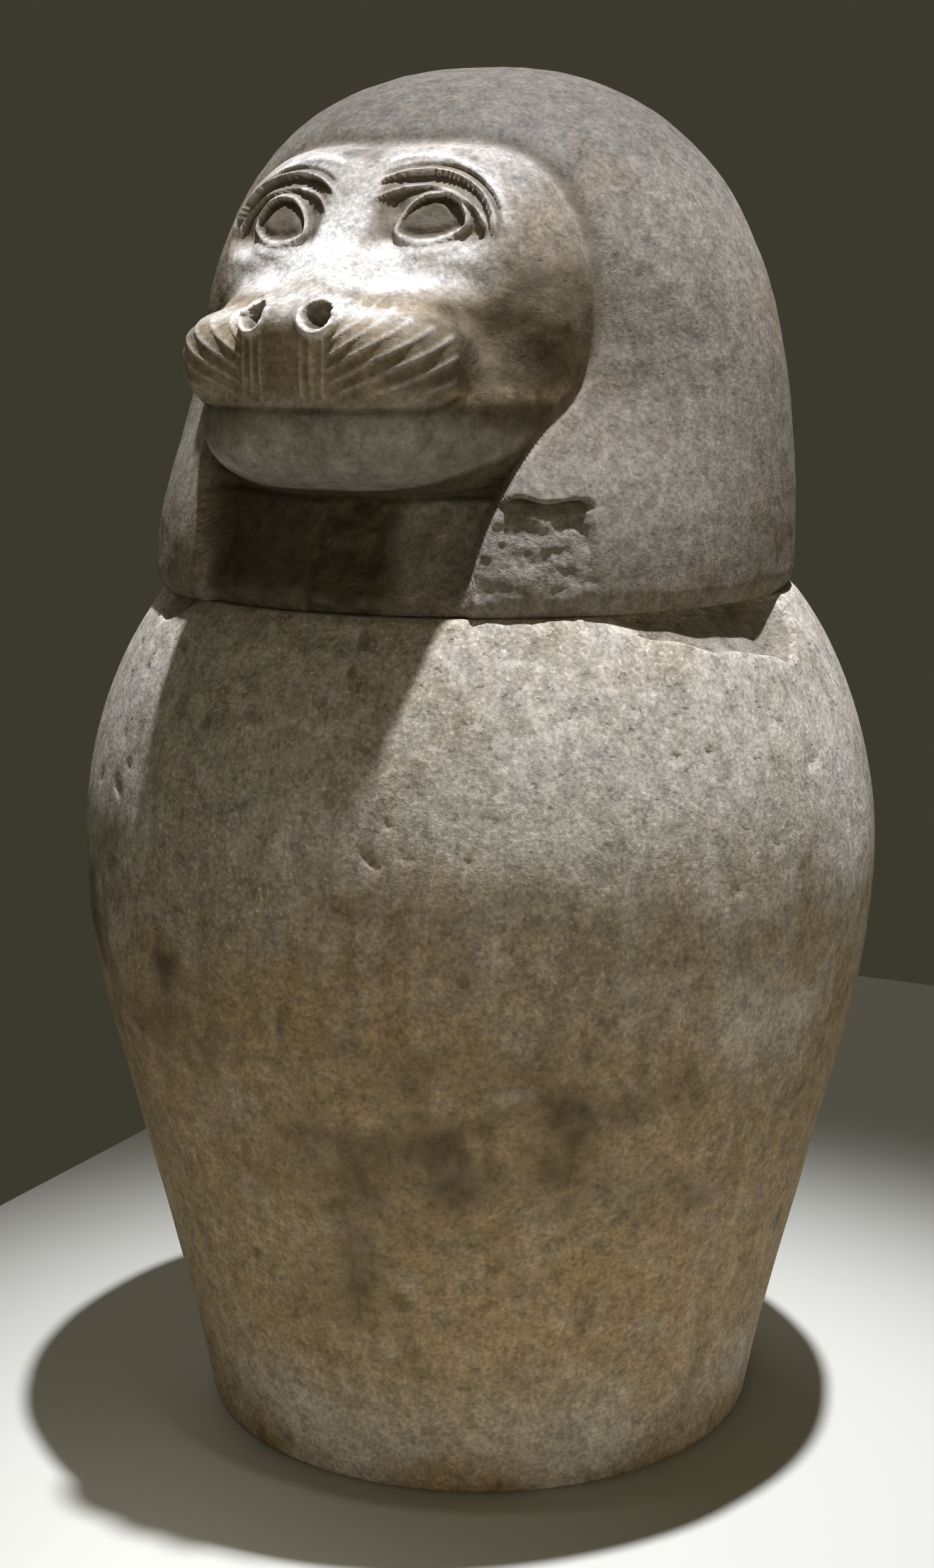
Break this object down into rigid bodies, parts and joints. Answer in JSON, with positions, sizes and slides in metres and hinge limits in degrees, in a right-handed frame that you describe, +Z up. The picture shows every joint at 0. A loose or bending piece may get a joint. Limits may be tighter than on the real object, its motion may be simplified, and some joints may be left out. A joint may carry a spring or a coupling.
{
  "type": "canopic jar",
  "caption": "Hollow limestone canopic jar with rounded shoulders and a lift-off lid carved as a baboon's head in a smooth wig.",
  "frame": {"origin": "middle of the jar's flat underside", "axes": "+Z up along the jar's axis, -Y the way the baboon's face looks, +X to the viewer's right of the face"},
  "size_m": [0.2354, 0.2354, 0.3957],
  "materials": {
    "jar_stone": "weathered limestone, pitted and grey above the belly, smoother, browner and stained below",
    "lid_stone": "smoothed limestone, warm grey-beige with darker recesses and fine scratches"
  },
  "bodies": {
    "root": {"jar": "jar_stone", "baboon_head_lid": "lid_stone"}
  },
  "joints": []
}
